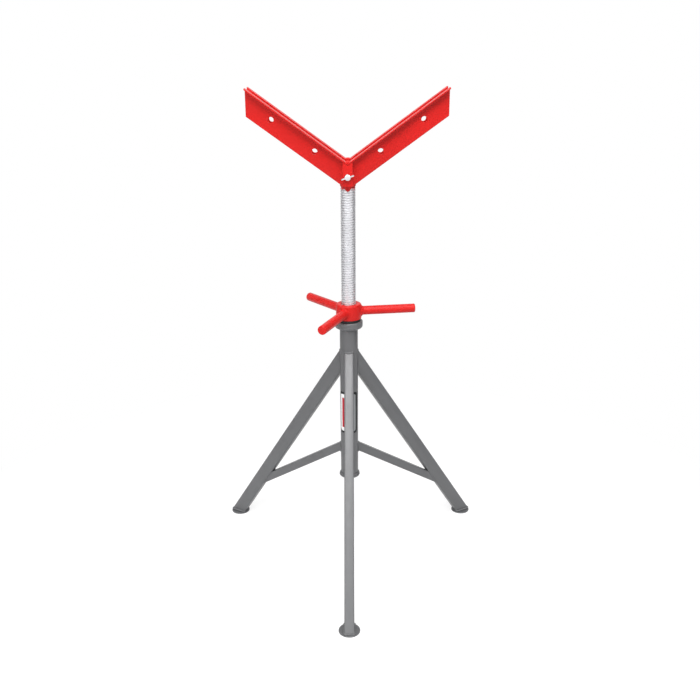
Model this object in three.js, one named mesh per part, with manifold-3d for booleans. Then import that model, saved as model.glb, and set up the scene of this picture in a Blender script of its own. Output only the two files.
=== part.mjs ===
// Pipe jack stand: a welded tripod, a jack screw raised by a three-armed hand nut, and a drilled V head.
// Millimetres, +Z up. The origin is on the floor, in the middle of the stand's footprint box.

import * as THREE from 'three';
import { mergeVertices } from 'three/addons/utils/BufferGeometryUtils.js';
import Module from 'manifold-3d';

const wasm = await Module();
wasm.setup();

// Gaps between pieces
const seatGap = 0.3; // where a face rests on another or is welded to it
const runningGap = 0.5; // round a piece that turns or slides in another
const cutOverrun = 30; // how far a cutting shape runs past what it cuts
const mergeDistance = 0.001; // vertices closer than this are one

// Facets
const roundSides = 48; // sides of the large round pieces
const smallSides = 24; // sides of bars, bores and screws
const cornerSteps = 3; // steps in a rounded corner

// Centre tube, its top collar and its bottom ring
const tubeDiameter = 48.3;
const tubeWall = 2.5;
const tubeBottomHeight = 228.4;
const tubeTopHeight = 686.5;
const collarDiameter = 74.5;
const collarHeight = 19.7;
const collarLowerRound = 6.5;
const collarUpperRound = 2.5;
const bottomRingDiameter = 57;
const bottomRingHeight = 8;
const bottomRingRound = 3.8;

// Legs: rectangular tube. The reach is measured at the floor.
const legCount = 3;
const legReach = 401.9;
const legTopDrop = 85.9; // from the tube's top, on the tube's face
const legWidth = 24.8;
const legDepth = 36.6;
const legWall = 2;
const legCorner = 3.2;

// Braces: square tube from the centre tube down to each leg
const braceTubeRise = 100.8; // its centre line on the stand's axis, above the tube's bottom
const braceLegHeight = 122.7; // its centre line on the leg's centre line, above the floor
const braceSize = 22;
const braceWall = 1.8;
const braceCorner = 2.2;

// Feet: round plates
const footDiameter = 54;
const footThickness = 3.2;
const footEdge = 1;
const footInset = 4.8; // from the leg's centre line on the floor towards the axis

// Thrust washer, hand nut hub and handle bars
const washerDiameter = 65;
const washerThickness = 6.3;
const washerEdge = 1.2;
const hubDiameter = 67.6;
const hubHeight = 40.2;
const hubTopRound = 4.5;
const hubBottomRound = 1.5;
const hubBoreChamfer = 1.6;
const barCount = 3;
const barDiameter = 23.8;
const barReach = 178.4; // from the axis to the tip
const barHeightInHub = 19; // above the hub's lower face
const barTipRound = 2.2;
const barRootFlare = 2.4;
const firstBarAngle = 8.4; // degrees from +X, as photographed

// Jack screw, its spigot and its stop ring
const screwDiameter = 38.1;
const screwLength = 481;
const screwShown = 307.4; // above the hand nut, as photographed
const screwChamfer = 1.8;
const neckDiameter = 30;
const neckLength = 13;
const spigotDiameter = 31;
const spigotDrop = 5; // its top below the sleeve's
const spigotChamfer = 2;
const spigotGrooveDepth = 1.2;
const spigotGrooveWidth = 11;

// V head: sleeve and four drilled angles
const sleeveDiameter = 40;
const sleeveLength = 54.7;
const sleeveChamfer = 1;
const valleyRise = 6.6; // where the tops of the two slopes meet, above the sleeve
const slopeFromVertical = 54.2; // degrees
const armReach = 247.5; // from the axis to the tip, level
const angleHeight = 54.5;
const angleFlange = 25.4;
const angleThickness = 3.2;
const angleFillet = 4;
const angleToe = 1.4;
const mitreGap = 0.3;
const armHoleDiameter = 14.8;
const armHoleReaches = [81.9, 187.4]; // from the axis, level
const armHoleDrop = 25.6; // square to the slope, from its top

// Front block and wing screw
const blockWidth = 24;
const blockRise = 6; // its bottom above the screw's shoulder
const blockRecess = 1.5; // behind the edge of the flanges
const wingScrewRise = 29.5; // above the screw's shoulder
const studDiameter = 8;
const studTipRound = 1;
const wingBossDiameter = 15.5;
const wingBossLength = 10;
const wingBossRound = 2.5;
const wingBossClearance = 2.5; // in front of the block
const wingSpan = 34;
const wingLobeDiameter = 9;
const wingThickness = 3;
const wingAngle = 18; // degrees, as photographed

// Worked out from the sizes above
const tubeRadius = tubeDiameter / 2;
const screwRadius = screwDiameter / 2;
const hubRadius = hubDiameter / 2;
const washerBottom = tubeTopHeight + seatGap;
const hubBottom = washerBottom + washerThickness + seatGap;
const screwTopHeight = hubBottom + hubHeight + screwShown;
const screwBottomHeight = screwTopHeight - screwLength;
const sleeveBottomHeight = screwTopHeight + seatGap;
const sleeveTopHeight = sleeveBottomHeight + sleeveLength;
const spigotTopHeight = sleeveTopHeight - spigotDrop;
const valleyHeight = sleeveTopHeight + valleyRise;
const wingScrewHeight = screwTopHeight + wingScrewRise;
const legTopHeight = tubeTopHeight - legTopDrop;
const braceTubeHeight = tubeBottomHeight + braceTubeRise;
const legRun = legReach - tubeRadius;
const legAngle = Math.atan2(legRun, legTopHeight)
  + Math.asin(legDepth / 2 / Math.hypot(legRun, legTopHeight));
const footReach = legReach - footInset;
const legStep = 2 * Math.PI / legCount;
const frontReach = footReach + footDiameter / 2;
const rearReach = footReach * Math.cos(legStep / 2) + footDiameter / 2;
const axisSetback = (frontReach - rearReach) / 2;
const slope = THREE.MathUtils.degToRad(slopeFromVertical);
const webInside = sleeveDiameter / 2 + seatGap;
const webOutside = webInside + angleThickness;
const flangeEdge = webInside + angleFlange;

const greyPaint = { color: 0x707275, roughness: 0.45, metalness: 0.1 };
const redPaint = { color: 0xd3231f, roughness: 0.35, metalness: 0.1 };
const zincPlate = { color: 0xc8c9cc, roughness: 0.35, metalness: 0.9 };
const blackSteel = { color: 0x1a1c1e, roughness: 0.5, metalness: 0.4 };

// Turns a closed geometry into a solid that can be cut and joined
function toSolid(geometry) {
  const bare = geometry.clone();
  bare.deleteAttribute('normal');
  bare.deleteAttribute('uv');
  const merged = mergeVertices(bare, mergeDistance);
  const index = merged.index.array;
  const triangles = [];
  for (let i = 0; i < index.length; i += 3) {
    const [a, b, c] = [index[i], index[i + 1], index[i + 2]];
    if (a !== b && b !== c && c !== a) triangles.push(a, b, c);
  }
  return new wasm.Manifold(new wasm.Mesh({
    numProp: 3,
    vertProperties: merged.attributes.position.array,
    triVerts: new Uint32Array(triangles),
  }));
}

// Turns a solid back into a geometry
function toGeometry(solid) {
  const mesh = solid.getMesh();
  const geometry = new THREE.BufferGeometry();
  geometry.setAttribute('position', new THREE.BufferAttribute(mesh.vertProperties, 3));
  geometry.setIndex(new THREE.BufferAttribute(mesh.triVerts, 1));
  geometry.computeVertexNormals();
  return geometry;
}

// An outline through corners [x, y, radius], each rounded by a true arc
function roundedOutline(corners) {
  const points = [];
  corners.forEach(([x, y, radius], i) => {
    const corner = new THREE.Vector2(x, y);
    if (!radius) {
      points.push(corner);
      return;
    }
    const [bx, by] = corners[(i + corners.length - 1) % corners.length];
    const [nx, ny] = corners[(i + 1) % corners.length];
    const back = new THREE.Vector2(bx, by).sub(corner).normalize();
    const ahead = new THREE.Vector2(nx, ny).sub(corner).normalize();
    const half = Math.acos(back.dot(ahead)) / 2;
    const middle = back.clone().add(ahead).normalize();
    const centre = corner.clone().addScaledVector(middle, radius / Math.sin(half));
    const from = corner.clone().addScaledVector(back, radius / Math.tan(half)).sub(centre);
    const to = corner.clone().addScaledVector(ahead, radius / Math.tan(half)).sub(centre);
    const turn = Math.atan2(from.cross(to), from.dot(to));
    for (let step = 0; step <= cornerSteps; step += 1) {
      points.push(from.clone().rotateAround(new THREE.Vector2(), turn * step / cornerSteps).add(centre));
    }
  });
  return points;
}

// A piece turned about Z. The corners [radius, height, rounding] run anticlockwise.
function turned(corners, sides = roundSides) {
  const profile = roundedOutline(corners);
  if (corners[0][0] > 0) profile.push(profile[0].clone());
  return new THREE.LatheGeometry(profile, sides).rotateX(Math.PI / 2);
}

function ringCorners(inner, outer, bottom, top, lowerRound, upperRound) {
  return [
    [inner, bottom, 0],
    [outer, bottom, lowerRound],
    [outer, top, upperRound],
    [inner, top, 0],
  ];
}

function rod(radius, length, sides = smallSides) {
  return new THREE.CylinderGeometry(radius, radius, length, sides).rotateX(Math.PI / 2);
}

function rectangleOutline(width, depth, corner) {
  return roundedOutline([
    [-width / 2, -depth / 2, corner],
    [width / 2, -depth / 2, corner],
    [width / 2, depth / 2, corner],
    [-width / 2, depth / 2, corner],
  ]);
}

// Hollow rectangular tube along Z: depth along X, width along Y
function sectionTube(depth, width, wall, corner, length) {
  const section = new THREE.Shape(rectangleOutline(depth, width, corner));
  const bore = rectangleOutline(depth - 2 * wall, width - 2 * wall, corner - wall);
  section.holes.push(new THREE.Path(bore.reverse()));
  return new THREE.ExtrudeGeometry(section, { depth: length, bevelEnabled: false });
}

// Lays a piece that runs along Z on the line from one point of the XZ plane to another
function alongLine(geometry, fromReach, fromHeight, toReach, toHeight) {
  const lean = Math.atan2(toReach - fromReach, toHeight - fromHeight);
  return geometry.rotateY(lean).translate(fromReach, 0, fromHeight);
}

function centreTube() {
  return turned(ringCorners(
    tubeRadius - tubeWall, tubeRadius, tubeBottomHeight, tubeTopHeight, 0, 0,
  ));
}

function topCollar() {
  return turned(ringCorners(
    tubeRadius + seatGap, collarDiameter / 2,
    tubeTopHeight - collarHeight, tubeTopHeight, collarLowerRound, collarUpperRound,
  ));
}

function bottomRing() {
  return turned(ringCorners(
    tubeRadius + seatGap, bottomRingDiameter / 2,
    tubeBottomHeight, tubeBottomHeight + bottomRingHeight, bottomRingRound, bottomRingRound,
  ));
}

// The space that the centre tube takes out of what is coped to it
function tubeSpace() {
  return toSolid(rod(tubeRadius + seatGap, 2 * tubeTopHeight, roundSides));
}

// The full leg section on its centre line, from under the floor to the stand's axis
function legBar(geometryOfLength) {
  const below = cutOverrun;
  const top = legReach / Math.tan(legAngle);
  const underReach = legReach + below * Math.tan(legAngle);
  const length = (top + below) / Math.cos(legAngle);
  return alongLine(geometryOfLength(length), underReach, -below, 0, top);
}

function leg() {
  const bar = toSolid(legBar((length) => sectionTube(legDepth, legWidth, legWall, legCorner, length)));
  const floorSpan = 4 * legReach;
  const floorTop = footThickness + seatGap;
  const floor = toSolid(new THREE.BoxGeometry(floorSpan, floorSpan, floorSpan)
    .translate(0, 0, floorTop - floorSpan / 2));
  return toGeometry(bar.subtract(tubeSpace()).subtract(floor));
}

function brace() {
  const meetReach = legReach - braceLegHeight * Math.tan(legAngle);
  const length = Math.hypot(meetReach, braceTubeHeight - braceLegHeight);
  const bar = toSolid(alongLine(
    sectionTube(braceSize, braceSize, braceWall, braceCorner, length),
    0, braceTubeHeight, meetReach, braceLegHeight,
  ));
  const legSpace = toSolid(legBar((barLength) => new THREE.BoxGeometry(
    legDepth + 2 * seatGap, legWidth + 2 * seatGap, barLength,
  ).translate(0, 0, barLength / 2)));
  return toGeometry(bar.subtract(tubeSpace()).subtract(legSpace));
}

function foot() {
  return turned([
    [0, 0, 0],
    [footDiameter / 2, 0, 0],
    [footDiameter / 2, footThickness, footEdge],
    [0, footThickness, 0],
  ]).translate(footReach, 0, 0);
}

function thrustWasher() {
  return turned(ringCorners(
    screwRadius + runningGap, washerDiameter / 2,
    washerBottom, washerBottom + washerThickness, washerEdge, washerEdge,
  ));
}

function nutHub() {
  const bore = screwRadius + runningGap;
  const top = hubBottom + hubHeight;
  return turned([
    [bore + hubBoreChamfer, hubBottom, 0],
    [hubRadius, hubBottom, hubBottomRound],
    [hubRadius, top, hubTopRound],
    [bore + hubBoreChamfer, top, 0],
    [bore, top - hubBoreChamfer, 0],
    [bore, hubBottom + hubBoreChamfer, 0],
  ]);
}

// One round bar along X, flared where it is welded and coped to the hub
function handleBar() {
  const radius = barDiameter / 2;
  const flareStart = hubRadius - radius;
  const bar = toSolid(turned([
    [0, hubRadius / 2, 0],
    [radius + barRootFlare, hubRadius / 2, 0],
    [radius + barRootFlare, hubRadius, 0],
    [radius, hubRadius + 2 * barRootFlare, 0],
    [radius, barReach, barTipRound],
    [0, barReach, 0],
  ], smallSides).rotateY(Math.PI / 2).translate(0, 0, hubBottom + barHeightInHub));
  const hubSpace = toSolid(rod(hubRadius + seatGap, hubHeight + cutOverrun, roundSides)
    .translate(0, 0, hubBottom + hubHeight / 2));
  return toGeometry(bar.subtract(hubSpace));
}

function jackScrew() {
  const groove = spigotDiameter / 2 - spigotGrooveDepth;
  return turned([
    [0, screwBottomHeight, 0],
    [neckDiameter / 2, screwBottomHeight, 0],
    [neckDiameter / 2, screwBottomHeight + neckLength, 0],
    [screwRadius - screwChamfer, screwBottomHeight + neckLength, 0],
    [screwRadius, screwBottomHeight + neckLength + screwChamfer, 0],
    [screwRadius, screwTopHeight - screwChamfer, 0],
    [screwRadius - screwChamfer, screwTopHeight, 0],
    [spigotDiameter / 2, screwTopHeight, 0],
    [spigotDiameter / 2, wingScrewHeight - spigotGrooveWidth / 2, 0],
    [groove, wingScrewHeight - spigotGrooveWidth / 2 + spigotGrooveDepth, 0],
    [groove, wingScrewHeight + spigotGrooveWidth / 2 - spigotGrooveDepth, 0],
    [spigotDiameter / 2, wingScrewHeight + spigotGrooveWidth / 2, 0],
    [spigotDiameter / 2, spigotTopHeight - spigotChamfer, 0],
    [spigotDiameter / 2 - spigotChamfer, spigotTopHeight, 0],
    [0, spigotTopHeight, 0],
  ]);
}

function stopRing() {
  return turned(ringCorners(
    neckDiameter / 2 + seatGap, tubeRadius - tubeWall - runningGap,
    screwBottomHeight, screwBottomHeight + neckLength - seatGap, 0, 0,
  ));
}

// A bore for the wing screw, from the spigot out through the block
function wingBore() {
  return toSolid(rod(studDiameter / 2 + runningGap, flangeEdge + cutOverrun)
    .rotateX(Math.PI / 2)
    .translate(0, -(flangeEdge + cutOverrun) / 2, wingScrewHeight));
}

function headSleeve() {
  const bottom = sleeveBottomHeight;
  const inside = spigotDiameter / 2 + runningGap;
  const outside = sleeveDiameter / 2;
  const sleeve = toSolid(turned([
    [inside, bottom, 0],
    [outside - sleeveChamfer, bottom, 0],
    [outside, bottom + sleeveChamfer, 0],
    [outside, sleeveTopHeight - sleeveChamfer, 0],
    [outside - sleeveChamfer, sleeveTopHeight, 0],
    [inside, sleeveTopHeight, 0],
  ]));
  return toGeometry(sleeve.subtract(wingBore()));
}

// Height of a slope's top face at a level distance from the axis
function slopeHeight(reach) {
  return valleyHeight + reach / Math.tan(slope);
}

// Angle section: x is the world's Y, and y is square to the slope, 0 at its top.
// The growth is the gap that a piece fitted under the angle keeps.
function angleOutline(growth) {
  const web = webOutside + growth;
  const edge = flangeEdge + growth;
  const under = angleThickness + growth;
  const foot = angleHeight + growth;
  return roundedOutline([
    [-webInside, 0, 0],
    [-edge, 0, 0],
    [-edge, -under, angleToe],
    [-web, -under, angleFillet - growth],
    [-web, -foot, angleToe],
    [-webInside, -foot, 0],
  ]);
}

// One front angle bar from its mitre to its tip. The side is 1 for right and -1 for left.
function angleBar(side, mitre, growth) {
  const length = armReach / Math.sin(slope) + 2 * angleHeight;
  const run = new THREE.Vector3(Math.sin(slope), 0, side * Math.cos(slope));
  const up = new THREE.Vector3(-side * Math.cos(slope), 0, Math.sin(slope));
  const place = new THREE.Matrix4()
    .makeBasis(new THREE.Vector3(0, 1, 0), up, run)
    .setPosition(side * armReach / 2, 0, slopeHeight(armReach / 2));
  const bar = toSolid(new THREE.ExtrudeGeometry(
    new THREE.Shape(angleOutline(growth)), { depth: length, bevelEnabled: false },
  ).translate(0, 0, -length / 2).applyMatrix4(place));
  const keptLength = armReach - mitre;
  const kept = toSolid(new THREE.BoxGeometry(keptLength, 2 * armReach, 2 * slopeHeight(armReach))
    .translate(side * (armReach - keptLength / 2), 0, slopeHeight(armReach)));
  return bar.intersect(kept);
}

function headArm(side, tapped) {
  let arm = angleBar(side, mitreGap / 2, 0);
  armHoleReaches.forEach((reach) => {
    arm = arm.subtract(toSolid(rod(armHoleDiameter / 2, 2 * (flangeEdge + cutOverrun))
      .rotateX(Math.PI / 2)
      .translate(side * reach, 0, slopeHeight(reach) - armHoleDrop / Math.sin(slope))));
  });
  return toGeometry(tapped ? arm.subtract(wingBore()) : arm);
}

function headBlock() {
  const half = blockWidth / 2;
  const bottom = screwTopHeight + blockRise;
  const under = (angleThickness + seatGap) / Math.sin(slope);
  const face = new THREE.Shape([
    new THREE.Vector2(-half, bottom),
    new THREE.Vector2(half, bottom),
    new THREE.Vector2(half, slopeHeight(half) - under),
    new THREE.Vector2(0, valleyHeight - under),
    new THREE.Vector2(-half, slopeHeight(half) - under),
  ]);
  const back = webOutside + seatGap;
  const block = toSolid(new THREE.ExtrudeGeometry(
    face, { depth: flangeEdge - blockRecess - back, bevelEnabled: false },
  ).rotateX(Math.PI / 2).translate(0, -back, 0));
  return toGeometry(block
    .subtract(angleBar(1, 0, seatGap))
    .subtract(angleBar(-1, 0, seatGap))
    .subtract(wingBore()));
}

// Wing screw along Z, tip down: stud, round boss and two lobed wings
function wingScrew() {
  const tip = spigotDiameter / 2 - spigotGrooveDepth + seatGap;
  const bossBack = flangeEdge - blockRecess + wingBossClearance;
  const bossFront = bossBack + wingBossLength;
  const lobe = wingLobeDiameter / 2;
  const stud = toSolid(turned([
    [0, tip, 0],
    [studDiameter / 2, tip, studTipRound],
    [studDiameter / 2, bossBack, 0],
    [wingBossDiameter / 2, bossBack, wingBossRound / 2],
    [wingBossDiameter / 2, bossFront, wingBossRound],
    [0, bossFront, 0],
  ], smallSides));
  const outline = new THREE.Shape();
  outline.moveTo(0, bossBack + wingBossRound / 2);
  outline.lineTo(wingSpan / 2 - lobe, bossBack + wingBossRound);
  outline.absarc(wingSpan / 2 - lobe, bossBack + wingBossRound + lobe, lobe, -Math.PI / 2, Math.PI / 2);
  outline.lineTo(0, bossFront - wingBossRound / 2);
  const wing = new THREE.ExtrudeGeometry(outline, {
    depth: wingThickness, bevelEnabled: false, curveSegments: 2 * cornerSteps,
  }).translate(0, 0, -wingThickness / 2).rotateX(Math.PI / 2);
  const otherWing = wing.clone().rotateZ(Math.PI);
  return toGeometry(stud.add(toSolid(wing)).add(toSolid(otherWing)));
}

function addMesh(parent, name, geometry, finish) {
  const mesh = new THREE.Mesh(geometry, new THREE.MeshStandardMaterial(finish));
  mesh.name = name;
  parent.add(mesh);
  return mesh;
}

// A group turned about the stand's axis
function turnedGroup(parent, angle) {
  const group = new THREE.Group();
  group.rotation.z = angle;
  parent.add(group);
  return group;
}

function addBase(parent) {
  addMesh(parent, 'center_tube', centreTube(), greyPaint);
  addMesh(parent, 'top_collar', topCollar(), greyPaint);
  addMesh(parent, 'bottom_ring', bottomRing(), greyPaint);
  ['front', 'right', 'left'].forEach((place, i) => {
    const spoke = turnedGroup(parent, -Math.PI / 2 + i * legStep);
    addMesh(spoke, `leg_${place}`, leg(), greyPaint);
    addMesh(spoke, `brace_${place}`, brace(), greyPaint);
    addMesh(spoke, `foot_${place}`, foot(), greyPaint);
  });
  addMesh(parent, 'thrust_washer', thrustWasher(), blackSteel);
}

function addHandNut(parent) {
  addMesh(parent, 'nut_hub', nutHub(), redPaint);
  ['right', 'rear', 'left'].forEach((place, i) => {
    const angle = THREE.MathUtils.degToRad(firstBarAngle) + i * 2 * Math.PI / barCount;
    addMesh(turnedGroup(parent, angle), `handle_bar_${place}`, handleBar(), redPaint);
  });
}

function addScrew(parent) {
  addMesh(parent, 'jack_screw', jackScrew(), zincPlate);
  addMesh(parent, 'screw_stop_ring', stopRing(), zincPlate);
}

function addHead(parent) {
  addMesh(parent, 'head_sleeve', headSleeve(), redPaint);
  addMesh(parent, 'arm_front_right', headArm(1, true), redPaint);
  addMesh(parent, 'arm_front_left', headArm(-1, true), redPaint);
  const rear = turnedGroup(parent, Math.PI);
  addMesh(rear, 'arm_rear_left', headArm(1, false), redPaint);
  addMesh(rear, 'arm_rear_right', headArm(-1, false), redPaint);
  addMesh(parent, 'head_block', headBlock(), redPaint);
  const screw = addMesh(parent, 'wing_screw', wingScrew(), zincPlate);
  screw.rotation.set(Math.PI / 2, 0, THREE.MathUtils.degToRad(wingAngle));
  screw.position.z = wingScrewHeight;
}

const stand = new THREE.Group();
const upright = new THREE.Group();
upright.position.y = axisSetback;
stand.add(upright);
addBase(upright);
addHandNut(upright);
addScrew(upright);
addHead(upright);

export default stand;
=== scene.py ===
"""Dresses the frame of a pipe jack stand: turned parts, thread, weld beads, label, finishes and stage"""

from math import acos, atan2, cos, pi, radians, sin, sqrt, tan

import bmesh
import bpy
from bpy.props import FloatProperty, FloatVectorProperty, IntProperty, PointerProperty
from mathutils import Matrix, Quaternion, Vector


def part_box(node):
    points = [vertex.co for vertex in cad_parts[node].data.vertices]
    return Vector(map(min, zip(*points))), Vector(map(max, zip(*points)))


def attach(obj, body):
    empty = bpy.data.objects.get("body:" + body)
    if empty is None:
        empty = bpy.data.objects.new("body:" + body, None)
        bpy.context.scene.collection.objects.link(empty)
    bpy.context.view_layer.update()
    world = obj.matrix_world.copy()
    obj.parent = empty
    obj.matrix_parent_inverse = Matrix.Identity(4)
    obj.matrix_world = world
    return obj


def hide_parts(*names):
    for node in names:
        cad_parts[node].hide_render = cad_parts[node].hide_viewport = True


bl_info = {
    "name": "Pipe jack stand",
    "version": (1, 0, 0),
    "blender": (4, 5, 0),
    "location": "3D View > Sidebar > Jack Stand",
    "description": "Builds the pieces, finishes and stage of a pipe jack stand",
    "category": "Add Mesh",
}

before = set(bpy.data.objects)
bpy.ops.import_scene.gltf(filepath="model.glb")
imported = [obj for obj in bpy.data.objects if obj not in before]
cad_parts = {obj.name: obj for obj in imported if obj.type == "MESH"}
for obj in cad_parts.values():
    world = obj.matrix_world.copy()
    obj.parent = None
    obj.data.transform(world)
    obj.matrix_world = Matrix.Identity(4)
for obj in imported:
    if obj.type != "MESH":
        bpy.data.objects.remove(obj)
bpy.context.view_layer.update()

MM = 0.001
FULL_TURN = 2 * pi
MERGE = 0.01 * MM  # vertices closer than this are one
FLAT = radians(0.4)  # faces that bend by less than this are one
SHARP = radians(32)  # edges sharper than this stay crisp
SOFT = radians(80)  # the same for the weld beads, whose ripples are soft
ROUND_STEPS = 96  # steps round a turned piece
BAR_STEPS = 48  # steps round a handle bar, and points of the bead at its root
CORNER_STEPS = 5  # steps round each rounded corner of a turned profile
SECTION_STEPS = 4  # steps round each corner of a leg's or brace's section
GAP = 0.3 * MM  # between two CAD nodes that touch in the real stand
VALLEY = 1102.6 * MM  # height of the V's lowest line, where the flanges' top faces meet
SPOKES = {"front": -90, "right": 30, "left": 150}  # degrees from +X
CORNERS = {  # which corners of a turned profile are rounded, and their radius
    "center_tube": {1: 0.4 * MM, 2: 0.4 * MM},
    "top_collar": {1: 6.5 * MM, 2: 2.5 * MM},
    "bottom_ring": {1: 3.8 * MM, 2: 3.8 * MM},
    "foot": {1: 0.3 * MM, 2: 1 * MM},
    "thrust_washer": {1: 1.2 * MM, 2: 1.2 * MM},
    "nut_hub": {1: 1.5 * MM, 2: 4.5 * MM, 3: 0.5 * MM},
    "handle_bar": {3: 4 * MM, 4: 2.2 * MM},
    "screw_neck": {1: 1 * MM},
    "screw_stop_ring": {1: 0.6 * MM, 2: 0.6 * MM},
}
EASED = {  # how far the sharp edges of the other CAD nodes are eased
    "leg": 0.3 * MM,
    "brace": 0.3 * MM,
    "arm": 0.5 * MM,
    "head_block": 0.6 * MM,
    "head_sleeve": 0.4 * MM,
    "wing_screw": 0.7 * MM,
}
FINISH_OF = {  # the frame's slots, and the label, each with its finish here
    "grey_paint": "grey_enamel",
    "red_paint": "red_enamel",
    "zinc_plate": "bright_zinc",
    "black_steel": "oiled_steel",
    "label_print": "label_print",
}
WORN = {  # a paint's worn colour, how far it covers an edge, the paint's roughness and specular level
    "grey": ((0.24, 0.24, 0.25), 0.35, 0.41, 0.82),
    "red": ((0.80, 0.05, 0.04), 0.5, 0.38, 0.24),
}
GRAINS = {  # each noise: its cells in a metre, its finer layers, and for some the values it is spread to
    "blotches": (14, 3),
    "paint_gloss": (55, 4),
    "orange_peel": (420, 2),
    "wear": (180, 4),
    "plate_cloud": (60, 3, 0.93, 1.03),
    "plate_gloss": (90, 3, 0.32, 0.42),
    "plate_grain": (300, 2),
    "spray_edge": (150, 4),
    "steel_tone": (160, 4, 0.7, 1.6),
    "steel_gloss": (90, 3, 0.3, 0.5),
    "steel_grain": (500, 2),
    "label_gloss": (70, 3, 0.28, 0.42),
}
NOISE_ENDS, NOISE_MIDDLE = (0.3, 0.7), 0.5  # the part of a noise that is spread out, and its middle
BUMPS = {"orange_peel": 0.015 * MM, "plate_grain": 0.01 * MM, "steel_grain": 0.03 * MM}  # heights
MIX_FACTOR, MIX_FIRST, MIX_SECOND, MIX_RESULT = 0, 6, 7, 2  # a Mix node's sockets for colours
LAMPS = {  # each lamp's power, its place and its side
    "front": (190, (-0.2, -5.2, 5.6), 3),
    "top": (80, (0.25, -0.9, 3.2), 2.6),
    "left": (27, (-2.2, -2.6, 1.9), 1.4),
    "right": (14, (2.0, -2.9, 2.0), 1.4),
}
CARDS = {  # each grey card's level of grey, its place and its side
    "left_card": (0.78, (-1.7, 0.9, 2.1), 4.2),
    "right_card": (0.46, (1.7, 1.3, 1.7), 3.4),
}


def radius_of(node):
    """Half the width of an upright round CAD node"""
    low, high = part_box(node)
    return (high.x - low.x) / 2


def span_of(node):
    """Lowest and highest point of a CAD node"""
    low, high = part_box(node)
    return low.z, high.z


tube_low, tube_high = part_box("center_tube")
AXIS = Vector(((tube_low.x + tube_high.x) / 2, (tube_low.y + tube_high.y) / 2, 0))
TO_AXIS = Matrix.Translation(AXIS)


# Sizes and colours that can be set

def kind_of_setting(make, **kind):
    """A short way to write settings of one kind, each from its name, its description and its default"""
    def setting(name, text, value):
        return make(name=name, description=text, default=value, **kind)
    return setting


a_length = kind_of_setting(FloatProperty, unit="LENGTH", precision=5)
an_angle = kind_of_setting(FloatProperty, subtype="ANGLE")
a_share = kind_of_setting(FloatProperty, min=0, max=1)
a_power = kind_of_setting(FloatProperty, subtype="POWER")
a_lens = kind_of_setting(FloatProperty, subtype="DISTANCE_CAMERA")
a_count = kind_of_setting(IntProperty, min=5)
a_colour = kind_of_setting(FloatVectorProperty, size=3, subtype="COLOR")
a_place = kind_of_setting(FloatVectorProperty, size=3, subtype="XYZ", unit="LENGTH", precision=5)


class LegSizes(bpy.types.PropertyGroup):
    """Where the legs and braces run, for the weld beads round their ends"""

    reach: a_length("Leg reach", "From the axis to the leg's centre line on the floor", 401.9 * MM)
    lean: an_angle("Leg lean", "Angle between a leg and the upright", radians(33.646))
    depth: a_length("Leg depth", "Deeper side of the leg's section", 36.6 * MM)
    width: a_length("Leg width", "Narrower side of the leg's section", 24.8 * MM)
    corner: a_length("Leg corner", "Radius of the corners of the leg's section", 3.2 * MM)
    brace_height: a_length("Brace height", "Where the brace's centre line meets the axis", 329.2 * MM)
    brace_end: a_length("Brace end", "Height where the brace's centre line meets the leg's", 122.7 * MM)
    brace_size: a_length("Brace size", "Side of the brace's square section", 22 * MM)
    brace_corner: a_length("Brace corner", "Radius of the corners of the brace's section", 2.2 * MM)


class WeldSizes(bpy.types.PropertyGroup):
    """The rippled beads round every joint"""

    radius: a_length("Bead radius", "Radius of the beads on the tubes", 2.1 * MM)
    foot_radius: a_length("Foot bead radius", "Radius of the heavier bead round a leg's foot", 2.8 * MM)
    top_radius: a_length("Top bead radius", "Radius of the heavy bead across the top of a leg", 3.3 * MM)
    side_radius: a_length("Side bead radius", "Radius of the bead between a leg and the tube", 1.4 * MM)
    fine_radius: a_length("Fine bead radius", "Radius of the beads on the head and the bars", 1.4 * MM)
    ripple: a_length("Ripple length", "From one ripple of a bead to the next", 2.6 * MM)
    ripple_depth: a_share("Ripple depth", "Share of the radius that a ripple dips", 0.11)
    sides: a_count("Sides", "Sides of a bead", 10)


class ThreadSizes(bpy.types.PropertyGroup):
    """The jack screw's thread"""

    pitch: a_length("Pitch", "Rise of the thread in one turn", 6.35 * MM)
    depth: a_length("Depth", "From crest to root", 1.8 * MM)
    crest: a_share("Crest share", "Share of the pitch that the crest takes", 0.5)
    root: a_share("Root share", "Share of the pitch that the root takes", 0.1)
    steps: a_count("Steps", "Steps in one turn", 48)


class LabelSizes(bpy.types.PropertyGroup):
    """The plain wrap-round label on the tube"""

    height: a_length("Height", "Height of the label", 121 * MM)
    width: a_length("Width", "Width of the label, round the tube", 58.6 * MM)
    middle: a_length("Middle height", "Height of the label's middle above the floor", 427 * MM)
    turn: an_angle("Turn", "How far the label's middle lies from the front leg", radians(-9.5))
    corner: a_length("Corner", "Radius of the label's corners", 8 * MM)
    border: a_length("Border", "Width of the dark border", 6 * MM)
    bar_height: a_length("Bar height", "Height of the coloured bar", 87 * MM)
    bar_left: a_length("Bar left", "Left end of the bar, from the label's middle", -17.5 * MM)
    bar_right: a_length("Bar right", "Right end of the bar, from the label's middle", -2 * MM)
    thickness: a_length("Thickness", "Thickness of the label's film", 0.25 * MM)


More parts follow.
